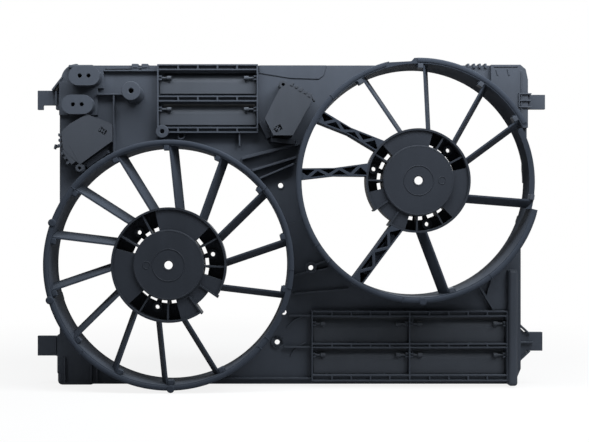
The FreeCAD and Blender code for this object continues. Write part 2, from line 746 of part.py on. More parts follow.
def relief_flap(label, block, columns, column, row):
    """Thin flap that hangs from two pins, with a lip above the hinge line."""
    bay_left, width, axis = bay_place(block, columns, column, row)
    body = make_body(label, bay_left, axis)
    bind(body, "Placement.Base.y", f"-({hinge_front})")
    seat = "flap_seat_gap - hinge_rise"
    face = f"{seat} + flap_wall"
    pad(body, [rectangle("side_gap", f"{width} - side_gap", f"-{block}_flap_drop", "-hook_radius - 1.2")], seat, face)
    lug_left = "hook_width + 2 * side_gap"
    lug_right = f"{width} - hook_width - 2 * side_gap"
    pad(body, [rectangle(lug_left, lug_right, "-hook_radius - 3", "0")], seat, face)
    # the lip above the hinge line swings back through the window, so it is narrower
    lip_side = "1.5 * side_gap"
    pad(body, [rectangle(f"{lug_left} + {lip_side}", f"{lug_right} - {lip_side}", "-hook_radius - 3", "flap_rise")],
        seat, face)
    for low, high in ((lug_left, f"{lug_left} + lug_width"), (f"{lug_right} - lug_width", lug_right)):
        pad(body, [rectangle(low, high, "-lug_radius", "lug_radius")], f"{face} - 0.5", "lug_radius")
    # a pin at each end, from the lug into the hook
    for start in ("side_gap / 2", f"{width} - side_gap / 2 - pin_length"):
        sketch = sketch_on(body, "YZ_Plane")
        draw_circle(sketch, "0", "0", "pin_radius")
        bind(sketch, "AttachmentOffset.Base.z", start)
        pin = body.newObject("PartDesign::Pad", label + "_pin")
        pin.Profile = sketch
        bind(pin, "Length", "pin_length")
        body.Tip = pin
    return body


upper_frame = flap_frame("upper_flap_frame", "upper", 1)
# the short round boss stands in the frame's lower left corner
pocket(upper_frame, [], "plate_front", "frame_front + 1", [
    ("-body_left + small_boss_inset", "body_top - small_boss_drop", "small_boss_radius")])
flap_frame("lower_flap_frame", "lower", 2)
for row, name in enumerate(("top", "bottom")):
    relief_flap(f"upper_{name}_flap", "upper", 1, 0, row)
    for column, edge in enumerate(("left", "right")):
        relief_flap(f"lower_{name}_{edge}_flap", "lower", 2, column, row)


# ------------------------------------------------------------------ bosses
def oval_boss(label, x, z):
    """Raised pad with round ends and two blind screw holes."""
    body = make_body(label, x, z)
    half = "(oval_length - oval_width) / 2"
    seat = "plate_front + oval_seat"
    pad(body, [rectangle(f"-{half}", half, "-oval_width / 2", "oval_width / 2")], seat, "oval_front")
    for place in (f"-{half}", half):
        pad(body, [], seat, "oval_front", [(place, "0", "oval_width / 2")])
    for place in ("-oval_pitch / 2", "oval_pitch / 2"):
        pocket(body, [], "oval_front - oval_hole_depth", "oval_front", [(place, "0", "oval_hole_radius")])
    return body


def round_boss(label, x, z, radius, front, hole, depth):
    """Upright round boss with a blind screw hole."""
    body = make_body(label, x, z)
    pad(body, [], "plate_front", front, [("0", "0", radius)])
    pocket(body, [], f"{front} - {depth}", front, [("0", "0", hole)])
    return body


oval_boss("upper_oval_boss", "-body_left + upper_oval_inset", "body_top - upper_oval_drop")
oval_boss("lower_oval_boss", "-body_left + lower_oval_inset", "body_top - lower_oval_drop")
round_boss("tall_round_boss", "-body_left + round_boss_inset", "body_top - round_boss_drop",
           "round_boss_radius", "round_boss_front", "round_hole_radius", "round_hole_depth")
round_boss("short_round_boss", "-body_left + small_boss_inset", "body_top - small_boss_drop",
           "small_boss_radius", "small_boss_front", "small_hole_radius", "8")


# ---------------------------------------------------- electronics housings
def shrink(corners, amount):
    """The same outline, each side moved inwards by amount."""
    result = []
    count = len(corners)
    for i in range(count):
        before, here, after = (Vector(*corners[(i + step) % count], 0) for step in (-1, 0, 1))
        first = (here - before).normalize()
        second = (after - here).normalize()
        inward = Vector(-first.y - second.y, first.x + second.x, 0)
        reach = amount / (1 + first.dot(second))
        result.append((here.x + inward.x * reach, here.y + inward.y * reach))
    return result


def as_formulas(corners):
    return [(f"{x:.3f}", f"{z:.3f}") for x, z in corners]


def housing(side, corner_x, corner_z, corners, ear, latch, latch_turn):
    """Electronics housing moulded on the plate, and the flat cover that snaps and screws on it."""
    front = f"{side}_lid_front"
    tray = make_body(side + "_module_tray", corner_x, corner_z)
    pad(tray, [as_formulas(shrink(corners, SIZES["lid_overhang"]))], "plate_front", f"{front} - lid_wall")
    pad(tray, [], "plate_front", f"{front} - lid_wall", [(*ear, "screw_ear_radius + 1")])
    pocket(tray, [], f"{front} - lid_wall - 12", f"{front} - lid_wall", [(*ear, "screw_hole_radius - 0.5")])
    cover = make_body(side + "_module_cover", corner_x, corner_z)
    pad(cover, [as_formulas(corners)], f"{front} - lid_wall", front)
    pad(cover, [], f"{front} - lid_wall", front, [(*ear, "screw_ear_radius")])
    pocket(cover, [], f"{front} - lid_wall", front, [(*ear, "screw_hole_radius")])
    latch_body = sketch_on(cover, "XZ_Plane", front, turn=str(latch_turn))
    turn_back = Rotation(Vector(0, 0, 1), -latch_turn)
    spot = turn_back.multVec(Vector(*latch, 0))
    draw_outline(latch_body, rectangle(f"{spot.x - 5:.3f}", f"{spot.x + 5:.3f}", f"{spot.y - 3.5:.3f}", f"{spot.y + 3.5:.3f}"))
    window = cover.newObject("PartDesign::Pocket", cover.Label + "_latch_window")
    window.Profile = latch_body
    bind(window, "Length", "lid_wall")
    cover.Tip = window


housing("left", "-body_left + 40", "body_top - 67", [
    (0, 0), (-22.5, -12.5), (-33.5, -23), (-32, -44.5), (-25, -52.5),
    (-9.5, -66), (32.5, -35.5), (32.5, -13),
], ("-10", "-70.5"), (20.5, -22), -35)
housing("right", "-body_left + 272.5", "body_top - 73.5", [
    (0, 0), (11, -22), (36.5, -22), (61, 22.5), (61, 31), (31.5, 45), (19, 38.5),
], ("23.8", "44"), (17, -13), 28)


# ------------------------------------------------------------ radiator tabs
def radiator_tab(label, outlines, thick_outlines=()):
    """Flat tongue that drops into a slot on the radiator's side tank."""
    body = make_body(label)
    for outline in outlines:
        pad(body, [outline], "tab_rear", "tab_rear + tab_wall")
    for outline in thick_outlines:
        pad(body, [outline], "tab_rear - 2", "tab_rear + tab_wall + 3")
    return body


left_tip = "-body_left - tab_length"
left_root = "-body_left - tab_root"
radiator_tab("upper_left_tab", [
    rectangle(left_tip, "-body_left", "body_top - 52", "body_top - 32.5"),
    rectangle(left_tip, f"{left_tip} + 7.5", "body_top - 58", "body_top - 51.5"),
    [("-body_left", "body_top - 24.5"), (left_root, "body_top - 32.5"), (left_root, "body_top - 33.5"),
     ("-body_left", "body_top - 33.5")],
], [
    rectangle(left_root, "-body_left", "body_top - 58", "body_top - 51.5"),
])
radiator_tab("lower_left_tab", [
    rectangle(left_tip, "-body_left", "-body_bottom + 36.5", "-body_bottom + 63"),
], [
    rectangle(left_root, "-body_left", z, f"{z} + rib_wall")
    for z in ("-body_bottom + 36.5", "-body_bottom + 61")
])
radiator_tab("upper_right_tab", [
    rectangle("upper_right_edge", "upper_right_edge + tab_length - 4.5", "body_top - 57.5", "body_top - 38"),
], [
    rectangle("upper_right_edge", "upper_right_edge + tab_root", z, f"{z} + rib_wall")
    for z in ("body_top - 57.5", "body_top - 48.8", "body_top - 40")
])
radiator_tab("lower_right_tab", [
    rectangle("body_right", "body_right + tab_length", "-body_bottom + 43", "-body_bottom + 68"),
    [("body_right", "-body_bottom + 74.5"), ("body_right", "-body_bottom + 29.5"),
     ("body_right + 1.5 * tab_root", "-body_bottom + 42"), ("body_right + 1.5 * tab_root", "-body_bottom + 65.5")],
], [
    rectangle("body_right", "body_right + 1.5 * tab_root", "-body_bottom + 53.5", "-body_bottom + 55.5"),
])

# -------------------------------------------------------------- write files
document.recompute()
bodies = [item for item in document.Objects if item.TypeId == "PartDesign::Body"]
for item in document.Objects:
    if "Invalid" in item.State or "Error" in item.State:
        raise RuntimeError(f"{item.Label} did not recompute: {item.State}")
for body in bodies:
    if body.Shape.isNull() or not body.Shape.isValid():
        raise RuntimeError(f"{body.Label} has no valid shape")
os.makedirs("parts", exist_ok=True)
for body in bodies:
    body.Shape.exportStep(f"parts/{body.Label}.step")
print(f"{len(bodies)} sub-parts written")
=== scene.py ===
# %% [markdown]
# # A twin-fan radiator shroud, moulded in black plastic
# The real object is one big injection moulding with six loose relief flaps and two snap-on covers.
# The measured model gives every piece its place, so this lesson starts from that frame and only adds
# what the mould maker adds: soft edges, small ribs and pads, grained finishes, and light to show them.

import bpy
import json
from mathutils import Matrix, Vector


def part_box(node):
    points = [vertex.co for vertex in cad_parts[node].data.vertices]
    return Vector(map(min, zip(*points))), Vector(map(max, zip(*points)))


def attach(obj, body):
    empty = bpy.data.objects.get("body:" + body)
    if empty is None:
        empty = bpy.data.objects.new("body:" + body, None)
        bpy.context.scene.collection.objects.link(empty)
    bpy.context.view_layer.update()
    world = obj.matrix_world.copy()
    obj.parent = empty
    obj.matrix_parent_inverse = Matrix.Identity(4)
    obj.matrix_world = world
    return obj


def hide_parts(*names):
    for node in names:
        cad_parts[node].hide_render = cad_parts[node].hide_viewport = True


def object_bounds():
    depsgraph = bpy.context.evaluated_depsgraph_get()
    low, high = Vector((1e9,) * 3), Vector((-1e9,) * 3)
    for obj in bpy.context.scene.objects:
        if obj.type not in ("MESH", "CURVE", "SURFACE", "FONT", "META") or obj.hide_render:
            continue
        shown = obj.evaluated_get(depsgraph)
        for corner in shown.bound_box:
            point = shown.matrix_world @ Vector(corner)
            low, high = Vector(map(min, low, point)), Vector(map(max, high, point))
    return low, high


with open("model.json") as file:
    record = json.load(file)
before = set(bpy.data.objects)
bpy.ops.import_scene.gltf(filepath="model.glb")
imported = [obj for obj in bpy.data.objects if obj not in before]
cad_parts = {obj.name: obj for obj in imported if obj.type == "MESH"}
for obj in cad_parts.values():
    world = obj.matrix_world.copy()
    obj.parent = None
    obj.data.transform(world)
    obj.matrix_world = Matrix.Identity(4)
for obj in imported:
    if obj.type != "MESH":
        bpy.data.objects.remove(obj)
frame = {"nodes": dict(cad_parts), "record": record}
cad_low, cad_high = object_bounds()

# %% Tools and units
import json
import math

import bpy
from mathutils import Matrix, Vector

MM = 0.001
nodes = frame["nodes"]
body_of_node = {name: body for body, members in frame["record"]["behaviour"]["bodies"].items()
                for name in members}

# %% [markdown]
# ## Working on one piece at a time
# Blender's operators act on whatever is selected, so each step first drops the old selection.
# Places are given as on the drawing: x to the right, z up, and height h from the radiator's face
# towards the viewer, which is the negative Y direction.


# %% Place and selection helpers
def at(x, h, z):
    """A point of the drawing, in millimetres, as a place in the scene."""
    return Vector((x, -h, z)) * MM


def deselect():
    if bpy.context.object is not None and bpy.context.object.mode != "OBJECT":
        bpy.ops.object.mode_set(mode="OBJECT")
    bpy.ops.object.select_all(action="DESELECT")


def work_on(piece):
    """Select one piece and nothing else, and make it the active one."""
    deselect()
    bpy.context.view_layer.objects.active = piece
    piece.select_set(True)


def settle(piece):
    """Put the place and turn of a new primitive into its mesh."""
    work_on(piece)
    bpy.ops.object.transform_apply(location=True, rotation=True, scale=True)


def pick_faces(piece, wanted):
    """Go to edit mode with just the faces chosen by centre and normal."""
    work_on(piece)
    bpy.ops.object.mode_set(mode="EDIT")
    bpy.ops.mesh.select_mode(type="FACE")
    bpy.ops.mesh.select_all(action="DESELECT")
    bpy.ops.object.mode_set(mode="OBJECT")
    for face in piece.data.polygons:
        face.select = wanted(face.center / MM, face.normal)
    bpy.ops.object.mode_set(mode="EDIT")


def end_edit():
    bpy.ops.object.mode_set(mode="OBJECT")


def apply_modifier(piece, kind, **settings):
    """Add one modifier with its settings and apply it."""
    work_on(piece)
    modifier = piece.modifiers.new(kind.lower(), kind)
    for key, value in settings.items():
        setattr(modifier, key, value)
    bpy.ops.object.modifier_apply(modifier=modifier.name)


def soften(piece, width_mm, segments=2, degrees=40):
    """Round the sharp edges and let the light run over them evenly."""
    apply_modifier(piece, "BEVEL", width=width_mm * MM, segments=segments, limit_method="ANGLE",
                   angle_limit=math.radians(degrees), use_clamp_overlap=True)
    work_on(piece)
    bpy.ops.object.shade_smooth_by_angle(angle=math.radians(degrees))
    apply_modifier(piece, "WEIGHTED_NORMAL", mode="FACE_AREA", weight=60, keep_sharp=True)


# %% [markdown]
# ## Camera
# The viewer stands about a metre and a quarter away and looks square at the plate. A long lens keeps
# the two rings round; the small shift frames the whole width, because the viewer stands four
# centimetres left of the middle.

# %% Camera
eye = at(-40.2, 1265.5, -1.3)
camera_data = bpy.data.cameras.new("camera")
camera_data.sensor_width = 36
camera_data.lens = 57.4
camera_data.shift_x = 0.0564
camera_data.shift_y = 0.0078
camera = bpy.data.objects.new("camera", camera_data)
bpy.context.scene.collection.objects.link(camera)
camera.location = eye
camera.rotation_euler = (math.radians(90), 0, 0)
bpy.context.scene.camera = camera
print("camera at", [round(c, 3) for c in camera.location])

# %% [markdown]
# ## Studio
# The surround is white and the floor shows only a breath of shadow. The white is seen by the camera, in
# reflections and through glass alone, so it adds nothing to the plastic's own matt colour. A dim room
# light and three soft lamps light that.


# %% Surround and floor
def fresh_tree(block):
    block.use_nodes = True
    block.node_tree.nodes.clear()
    return block.node_tree


def background(tree, colour, strength):
    node = tree.nodes.new("ShaderNodeBackground")
    node.inputs["Color"].default_value = (*colour, 1)
    node.inputs["Strength"].default_value = strength
    return node


def seen_directly(tree):
    """1 for rays that show the surround itself: from the camera, in a reflection or through glass."""
    path = tree.nodes.new("ShaderNodeLightPath")
    total = path.outputs["Is Camera Ray"]
    for name in ("Is Glossy Ray", "Is Transmission Ray"):
        larger = tree.nodes.new("ShaderNodeMath")
        larger.operation = "MAXIMUM"
        tree.links.new(total, larger.inputs[0])
        tree.links.new(path.outputs[name], larger.inputs[1])
        total = larger.outputs[0]
    return total


world = bpy.data.worlds.new("surround")
bpy.context.scene.world = world
tree = fresh_tree(world)
output = tree.nodes.new("ShaderNodeOutputWorld")
mix = tree.nodes.new("ShaderNodeMixShader")
room = background(tree, (0.86, 0.93, 1.0), 0.13)
white = background(tree, (1, 1, 1), 1.0)
tree.links.new(seen_directly(tree), mix.inputs[0])
tree.links.new(room.outputs[0], mix.inputs[1])
tree.links.new(white.outputs[0], mix.inputs[2])
tree.links.new(mix.outputs[0], output.inputs["Surface"])
bpy.context.scene.view_settings.view_transform = "Standard"

# the corner skirt and the lowest stud reach a little below the measured model, so the floor lies lower
floor_z = cad_low.z - 0.0031
floor_size = 60
deselect()
bpy.ops.mesh.primitive_grid_add(x_subdivisions=8, y_subdivisions=8, size=floor_size,
                                location=(0, 0, floor_z))
floor = bpy.context.object
floor.name = "floor"
settle(floor)
floor_paint = bpy.data.materials.new("pale_floor")
tree = fresh_tree(floor_paint)
output = tree.nodes.new("ShaderNodeOutputMaterial")
mix = tree.nodes.new("ShaderNodeMixShader")
place = tree.nodes.new("ShaderNodeTexCoord")
reach = tree.nodes.new("ShaderNodeVectorMath")
reach.operation = "LENGTH"
share = tree.nodes.new("ShaderNodeMapRange")
share.interpolation_type = "SMOOTHSTEP"
# the shadow shows near the middle and is gone past 1.1 m
for key, number in (("From Min", 0.25), ("From Max", 1.1), ("To Min", 0.86), ("To Max", 1.0)):
    share.inputs[key].default_value = number
white_share = tree.nodes.new("ShaderNodeMath")
white_share.operation = "MULTIPLY"
paint = tree.nodes.new("ShaderNodeBsdfDiffuse")
paint.inputs["Color"].default_value = (0.45, 0.45, 0.45, 1)
glow = tree.nodes.new("ShaderNodeEmission")
glow.inputs["Strength"].default_value = 1.0
tree.links.new(place.outputs["Object"], reach.inputs[0])
tree.links.new(reach.outputs["Value"], share.inputs["Value"])
tree.links.new(share.outputs["Result"], white_share.inputs[0])
tree.links.new(seen_directly(tree), white_share.inputs[1])
tree.links.new(white_share.outputs[0], mix.inputs[0])
tree.links.new(paint.outputs[0], mix.inputs[1])
tree.links.new(glow.outputs[0], mix.inputs[2])
tree.links.new(mix.outputs[0], output.inputs["Surface"])
floor.data.materials.append(floor_paint)


# %% Lamps
lamp_tint = (0.93, 0.965, 1.0)


def soft_lamp(name, place, aim, size, watts):
    """A soft box: its place and aim in metres, its width and height, and its power."""
    data = bpy.data.lights.new(name, "AREA")
    data.shape = "RECTANGLE"
    data.size, data.size_y = size
    data.energy = watts
    data.color = lamp_tint
    lamp = bpy.data.objects.new(name, data)
    bpy.context.scene.collection.objects.link(lamp)
    lamp.location = place
    lamp.rotation_euler = (Vector(aim) - Vector(place)).to_track_quat("-Z", "Y").to_euler()


soft_lamp("key_box", (0.72, -0.72, 0.82), (0.1, 0, 0.06), (0.7, 0.6), 21)
soft_lamp("top_strip", (0.02, -0.28, 0.55), (0.0, 0, 0.06), (1.15, 0.16), 14.5)
soft_lamp("back_box", (0.5, 1.5, 0.5), (0, 0, 0), (0.9, 0.9), 7)

# %% [markdown]
# ## Moulded plastic
# Glass-filled polypropylene comes out of the tool a cool charcoal. Three things make it look real:
# a fine spark-eroded grain that scatters the gloss, slow shading where the melt flowed and cooled,
# and a trace of pale dust on faces that look up. One recipe with a few numbers gives every finish,
# and because it reads object coordinates, the grain has the same size on all pieces.


# %% Plastic finish
polypropylene_index = 1.49
dust_colour = (0.11, 0.12, 0.13)
wall_wave = 0.25 * MM


def plastic(name, colour, roughness, specular, grain_mm, grain_depth, flow, dust):
    """A grained black plastic. Colours are linear; grain_mm is the size of one grain."""
    material = bpy.data.materials.new(name)
    tree = fresh_tree(material)
    new, link = tree.nodes.new, tree.links.new
    output = new("ShaderNodeOutputMaterial")
    shader = new("ShaderNodeBsdfPrincipled")
    shader.inputs["IOR"].default_value = polypropylene_index
    shader.inputs["Specular IOR Level"].default_value = specular
    place = new("ShaderNodeTexCoord").outputs["Object"]

    def noise(scale, detail, stretch=(1, 1, 1)):
        mapping = new("ShaderNodeMapping")
        mapping.inputs["Scale"].default_value = stretch
        texture = new("ShaderNodeTexNoise")
        texture.inputs["Scale"].default_value = scale
        texture.inputs["Detail"].default_value = detail
        link(place, mapping.inputs["Vector"])
        link(mapping.outputs[0], texture.inputs["Vector"])
        return texture.outputs["Fac"]

    def ramp(value, low, high, start, end):
        ranger = new("ShaderNodeMapRange")
        for key, number in (("From Min", low), ("From Max", high), ("To Min", start), ("To Max", end)):
            ranger.inputs[key].default_value = number
        link(value, ranger.inputs["Value"])
        return ranger.outputs["Result"]

    def blend(kind, amount, first, second):
        mixer = new("ShaderNodeMix")
        mixer.data_type = "RGBA"
        mixer.blend_type = kind
        sockets = mixer.inputs[0], mixer.inputs[6], mixer.inputs[7]
        for value, socket in zip((amount, first, second), sockets):
            if isinstance(value, (int, float)):
                socket.default_value = value
            elif isinstance(value, tuple):
                socket.default_value = (*value, 1)
            else:
                link(value, socket)
        return mixer.outputs[2]

    # slow shading of the melt, and long faint flow lines
    darker = tuple(c * (1 - flow) for c in colour)
    lighter = tuple(c * (1 + flow) for c in colour)
    streaked = tuple(c * (1 + 2 * flow) for c in colour)
    base = blend("MIX", ramp(noise(9, 3), 0.3, 0.7, 0, 1), darker, lighter)
    base = blend("MIX", ramp(noise(26, 4, (2.2, 1, 0.35)), 0.45, 0.75, 0, 0.4), base, streaked)
    # dust lies on what faces up, in patches
    apart = new("ShaderNodeSeparateXYZ")
    link(new("ShaderNodeNewGeometry").outputs["Normal"], apart.inputs[0])
    cover = new("ShaderNodeMath")
    cover.operation = "MULTIPLY"
    link(ramp(apart.outputs["Z"], 0.2, 1.0, 0.0, dust), cover.inputs[0])
    link(ramp(noise(55, 5), 0.35, 0.7, 0.35, 1.0), cover.inputs[1])
    base = blend("MIX", cover.outputs[0], base, dust_colour)
    # fine speckle of the grain in the colour
    base = blend("MULTIPLY", 1.0, base, ramp(noise(1000 / grain_mm, 2), 0.3, 0.7, 0.9, 1.1))
    link(base, shader.inputs["Base Color"])
    # rubbed patches are a little glossier
    link(ramp(noise(34, 6), 0.3, 0.72, roughness + 0.07, roughness - 0.07), shader.inputs["Roughness"])
    # the spark-eroded grain itself, on top of a very slight waviness of the cooled wall
    bump = new("ShaderNodeBump")
    bump.inputs["Distance"].default_value = grain_depth * MM
    link(noise(1000 / grain_mm, 3), bump.inputs["Height"])
    wave = new("ShaderNodeBump")
    wave.inputs["Distance"].default_value = wall_wave
    wave.inputs["Strength"].default_value = 0.6
    link(noise(60, 2), wave.inputs["Height"])
    link(wave.outputs[0], bump.inputs["Normal"])
    link(bump.outputs[0], shader.inputs["Normal"])
    link(shader.outputs[0], output.inputs["Surface"])
    return material


# %% Finishes
# colour, roughness, specular, grain size and depth in mm, flow shading, dust
finish = {
    "plate": plastic("grained_charcoal", (0.0234, 0.0276, 0.0354), 0.62, 0.11, 0.5, 0.02, 0.12, 0.20),
    "ring": plastic("ring_charcoal", (0.0190, 0.0228, 0.0300), 0.74, 0.015, 0.4, 0.012, 0.12, 0.14),
    "hub": plastic("hub_charcoal", (0.0112, 0.0132, 0.0172), 0.62, 0.07, 0.45, 0.012, 0.14, 0.10),
    "flap": plastic("flap_charcoal", (0.0245, 0.0280, 0.0342), 0.62, 0.11, 0.35, 0.01, 0.10, 0.18),
    "cover": plastic("cover_charcoal", (0.0215, 0.0247, 0.0306), 0.62, 0.11, 0.6, 0.025, 0.08, 0.18),
}
print("finishes:", ", ".join(m.name for m in finish.values()))

# %% [markdown]
# ## Soft edges
# No moulded edge is knife sharp, and it is the thin line of light on each rounded edge that makes
# plastic look moulded. Each measured node is copied, its loose triangles are merged, and a small
# bevel rounds every sharp edge. The copy then stands for the node. The flaps get their own step.


# %% Round the edges of the mouldings
def hand_over(piece, look, body="shroud"):
    """Give a finished piece its finish and the body that it moves with."""
    piece.data.materials.clear()
    piece.data.materials.append(finish[look])
    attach(piece, body)


def rounded_copy(name, width_mm, look):
    piece = bpy.data.objects.new(name + "_moulding", nodes[name].data.copy())
    bpy.context.scene.collection.objects.link(piece)
    work_on(piece)
    bpy.ops.mesh.customdata_custom_splitnormals_clear()
    bpy.ops.object.mode_set(mode="EDIT")
    bpy.ops.mesh.select_all(action="SELECT")
    bpy.ops.mesh.remove_doubles(threshold=0.002 * MM)
    bpy.ops.mesh.dissolve_limited(angle_limit=math.radians(0.5))
    end_edit()
    soften(piece, width_mm)
    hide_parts(name)
    hand_over(piece, look, body_of_node[name])
    return piece


# words in a node's name, its finish, and how round its edges are in millimetres
looks = ((("cover", "tray"), "cover", 0.7), (("cup",), "hub", 1.4), (("motor",), "hub", 0.6),
         (("ring",), "ring", 0.9), (("vane", "truss"), "ring", 0.45), (("boss",), "plate", 1.2),
         (("ridge",), "plate", 2.8))


def look_of(name):
    """Which finish a node has, by what it is, and how round its edges are."""
    for words, look, width in looks:
        if any(word in name for word in words):
            return look, width
    return "plate", 0.5


flap_names = sorted(name for name in nodes if body_of_node[name] != "shroud")
mouldings = {}
for name in sorted(set(nodes) - set(flap_names)):
    look, width = look_of(name)
    mouldings[name] = rounded_copy(name, width, look)
print(len(mouldings), "mouldings,", sum(len(p.data.polygons) for p in mouldings.values()), "faces")

# %% [markdown]
# ## Relief flaps
# A relief flap is a thin plate that the ram air pushes open at speed. Its lower part is flat, and above
# the bend it curls back through the window, so that no gap shows when it is shut. Two round knuckles
# carry its pins. One plate is shaped per size: a box is set in its place, its upper edge is extruded
# upwards and back six times for the curl, and the knuckles are short cylinders whose outer ends are
# inset and drawn out into the pins. Each flap that is hung is a copy of its size's plate.


# %% Shape one flap
barrel_radius, barrel_long = 2.9, 6.2
pin_radius, pin_long = 1.45, 9.9
flap_thick, flap_h = 2.0, -3.1        # the plate's middle lies behind the hinge line
bend = 5.5                            # from the hinge line down to the bend
curl_steps = ((2.6, 0.35), (2.8, 0.9), (2.6, 1.4), (2.4, 2.0), (2.0, 2.6), (1.6, 2.6))


def knuckle(x_left, direction):
    """A barrel with its pin, along x, at the hinge line of the flap being made."""
    deselect()
    bpy.ops.mesh.primitive_cylinder_add(vertices=28, radius=barrel_radius * MM, depth=barrel_long * MM,
                                        location=at(x_left + barrel_long / 2, 0, 0),
                                        rotation=(0, math.radians(90), 0))
    barrel = bpy.context.object
    settle(barrel)
    pick_faces(barrel, lambda centre, normal: normal.x * direction > 0.9)
    bpy.ops.mesh.inset(thickness=(barrel_radius - pin_radius) * MM)
    bpy.ops.mesh.extrude_region_move(TRANSFORM_OT_translate={"value": (pin_long * direction * MM, 0, 0)})
    end_edit()
    pick_faces(barrel, lambda centre, normal: normal.x * direction < -0.9)
    bpy.ops.mesh.inset(thickness=0.5 * MM)
    bpy.ops.transform.translate(value=(0.3 * direction * MM, 0, 0))
    end_edit()
    return barrel


def shape_flap(width, drop):
    """A flap whose hinge line is the x axis, starting at the left end of its bay."""
    deselect()
    # from each end of the bay: the plate's play, the top's narrowing beside the hook, the knuckle
    side, hook, lug = 0.6, 5.2, 10.5
    bpy.ops.mesh.primitive_cube_add(size=1, location=at(width / 2, flap_h, (-drop - bend) / 2))
    flap = bpy.context.object
    flap.scale = ((width - 2 * side) * MM, flap_thick * MM, (drop - bend) * MM)
    settle(flap)
    # a slight taper towards the lower edge
    pick_faces(flap, lambda centre, normal: normal.z < -0.9)
    bpy.ops.transform.resize(value=((width - 2 * side - 1.6) / (width - 2 * side), 1, 1),
                             center_override=at(width / 2, flap_h, -drop))
    end_edit()
    # narrow the top between the hooks, then curl it back through the window
    pick_faces(flap, lambda centre, normal: normal.z > 0.9)
    bpy.ops.mesh.extrude_region_move(TRANSFORM_OT_translate={"value": (0, 0, 0.01 * MM)})
    bpy.ops.transform.resize(value=((width - 2 * hook - 2) / (width - 2 * side), 1, 1),
                             center_override=at(width / 2, flap_h, -bend))
    end_edit()
    top = -bend + 0.01
    for rise, back in curl_steps:
        pick_faces(flap, lambda centre, normal: centre.z > top - 0.05 and normal.z > 0.5)
        bpy.ops.mesh.extrude_region_move(TRANSFORM_OT_translate={"value": (0, back * MM, rise * MM)})
        end_edit()
        top += rise
    parts = [knuckle(lug, -1), knuckle(width - lug - barrel_long, 1)]
    # small webs tie the knuckles to the plate
    for x in (lug + barrel_long / 2, width - lug - barrel_long / 2):
        deselect()
        bpy.ops.mesh.primitive_cube_add(size=1, location=at(x, -1.9, -3.6))
        web = bpy.context.object
        web.scale = (3.4 * MM, 2.2 * MM, 6.0 * MM)
        settle(web)
        pick_faces(web, lambda centre, normal: normal.y < -0.9)
        bpy.ops.transform.resize(value=(0.8, 1, 0.6), center_override=at(x, -0.8, -2.4))
        end_edit()
        parts.append(web)
    work_on(flap)
    for part in parts:
        part.select_set(True)
    bpy.ops.object.join()
    soften(flap, 0.3)
    return flap


# %% Hang the six flaps
joint_of_body = {joint["child"]: joint for joint in frame["record"]["behaviour"]["joints"]}
pin_side = 0.3      # a bay is this much wider than its measured flap at each end
pattern = {}
for name in flap_names:
    low, high = (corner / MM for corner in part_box(name))
    hinge = Vector(joint_of_body[body_of_node[name]]["pos_m"]) / MM
    width = high.x - low.x + 2 * pin_side
    drop = hinge.z - low.z
    size = (round(width, 2), round(drop, 2))
    if size not in pattern:
        pattern[size] = shape_flap(*size)
    flap = bpy.data.objects.new(name + "_plate", pattern[size].data.copy())
    bpy.context.scene.collection.objects.link(flap)
    flap.data.transform(Matrix.Translation(at(low.x - pin_side, -hinge.y, hinge.z)))
    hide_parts(name)
    hand_over(flap, "flap", body_of_node[name])
for spare in pattern.values():
    bpy.data.objects.remove(spare)
print("flaps hung:", len(flap_names), "from", len(pattern), "patterns")

# %% [markdown]
# ## Studs and marks on the rings
# Round studs stand on the outer edge of the lips, and thin raised steps cross the lips. A stud is a
# short cylinder whose front face is inset and raised twice into a low dome, and softened. The steps are
# bars, shaped once and turned round the ring's axis.

# %% Ring centres and polar places
ring_centre = {"left": (-158.0, -51.5), "right": (159.5, 56.0)}
ring_radius = {"left": 152.0, "right": 148.5}


def round_ring(side, radius, degrees, h):
    """A place on a circle about a ring's axis, the angle measured anticlockwise from the right."""
    x, z = ring_centre[side]
    turn = math.radians(degrees)
    return at(x + radius * math.cos(turn), h, z + radius * math.sin(turn))


def turned_copy(pattern_piece, name, side, degrees, radius, h, look="ring"):
    """Copy a piece shaped at the origin, its x axis outwards, to a place round a ring."""
    piece = bpy.data.objects.new(name, pattern_piece.data.copy())
    bpy.context.scene.collection.objects.link(piece)
    turn = Matrix.Rotation(-math.radians(degrees), 4, "Y")
    piece.data.transform(Matrix.Translation(round_ring(side, radius, degrees, h)) @ turn)
    hand_over(piece, look)
    return piece


# %% Studs
stud_radius, stud_out, stud_h = 5.0, 5.1, 74.6
deselect()
bpy.ops.mesh.primitive_cylinder_add(vertices=40, radius=stud_radius * MM, depth=9 * MM,
                                    location=at(0, -3.5, 0), rotation=(math.radians(90), 0, 0))
stud = bpy.context.object
settle(stud)
for step, rise in ((0.9, 0.5), (1.4, 0.25)):
    pick_faces(stud, lambda centre, normal: normal.y < -0.9 and math.hypot(centre.x, centre.z) < 0.1)
    bpy.ops.mesh.inset(thickness=step * MM)
    bpy.ops.transform.translate(value=(0, -rise * MM, 0))
    end_edit()
soften(stud, 0.3)
stud_places = (("left", 160), ("left", 196.5), ("left", 271), ("right", 272))
for number, (side, degrees) in enumerate(stud_places, start=1):
    turned_copy(stud, f"lip_stud_{number}", side, degrees, ring_radius[side] + stud_out, stud_h)
bpy.data.objects.remove(stud)
print("studs:", len(stud_places))

